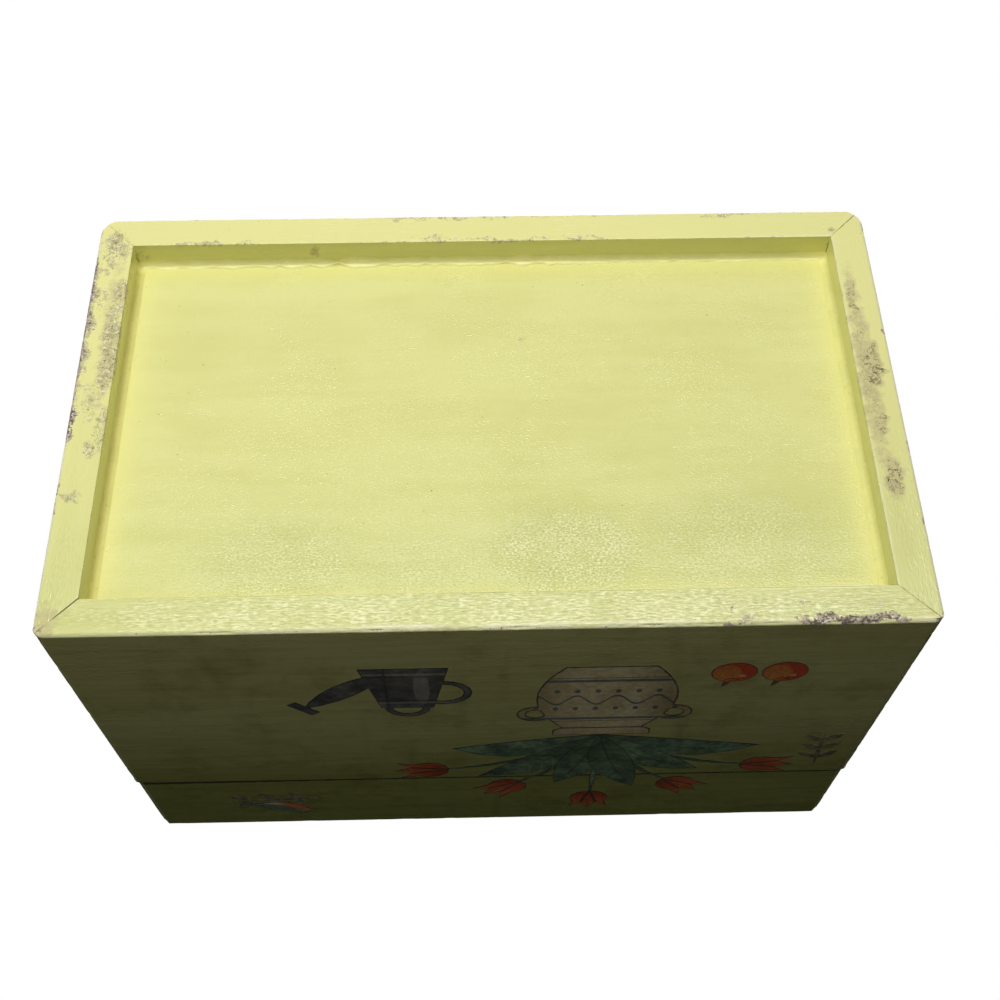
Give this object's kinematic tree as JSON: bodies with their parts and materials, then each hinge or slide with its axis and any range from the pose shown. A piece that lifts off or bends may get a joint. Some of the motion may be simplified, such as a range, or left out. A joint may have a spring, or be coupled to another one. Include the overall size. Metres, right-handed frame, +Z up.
{
  "type": "hinged decoupage box",
  "caption": "Painted wooden keepsake box with mitred walls, a recessed bottom panel and a lid hinged at the back, decorated with paper cut-outs.",
  "frame": {"origin": "middle of the underside, level with the rim that the box stands on", "axes": "+Z up towards the lid, -Y towards the decorated front, +X to the right seen from the front"},
  "size_m": [0.254, 0.1565, 0.174],
  "materials": {
    "painted_wood": "pale lemon-yellow oil paint under yellowed varnish, satin to gloss, worn along the arrises",
    "glue_bead": "glue squeezed from the joint and painted over, glossy",
    "brass": "dull stamped brass with brown tarnish",
    "cream_paper": "printed paper under varnish, cream stoneware print",
    "green_paper": "printed paper under varnish, mottled dark green print",
    "red_paper": "printed paper under varnish, brick-red print",
    "grey_paper": "printed paper under varnish, charcoal grey print"
  },
  "bodies": {
    "base": {"base_front_wall": "painted_wood", "base_right_wall": "painted_wood", "base_back_wall": "painted_wood", "base_left_wall": "painted_wood", "bottom_panel": "painted_wood", "underside_glue_bead": "glue_bead", "left_hinge_base_leaf": "brass", "left_hinge_pin": "brass", "right_hinge_base_leaf": "brass", "right_hinge_pin": "brass", "base_hinge_screws": "brass", "crock_cutout": "cream_paper", "watering_can_cutout": "grey_paper", "apple_cutouts": "red_paper", "sprig_cutout": "grey_paper", "base_leaf_cutouts": "green_paper", "base_tulip_cutouts": "red_paper"},
    "lid": {"lid_front_wall": "painted_wood", "lid_right_wall": "painted_wood", "lid_back_wall": "painted_wood", "lid_left_wall": "painted_wood", "lid_top_panel": "painted_wood", "left_hinge_lid_leaf": "brass", "right_hinge_lid_leaf": "brass", "lid_hinge_screws": "brass", "lid_leaf_cutouts": "green_paper", "lid_tulip_cutouts": "red_paper", "bird_cutout": "green_paper", "twig_cutouts": "grey_paper"}
  },
  "joints": [
    {"name": "lid_hinge", "type": "hinge", "parent": "base", "child": "lid", "pos_m": [0, 0.07815, 0.122], "axis": [-1, 0, 0], "range_deg": [0, 180]}
  ]
}
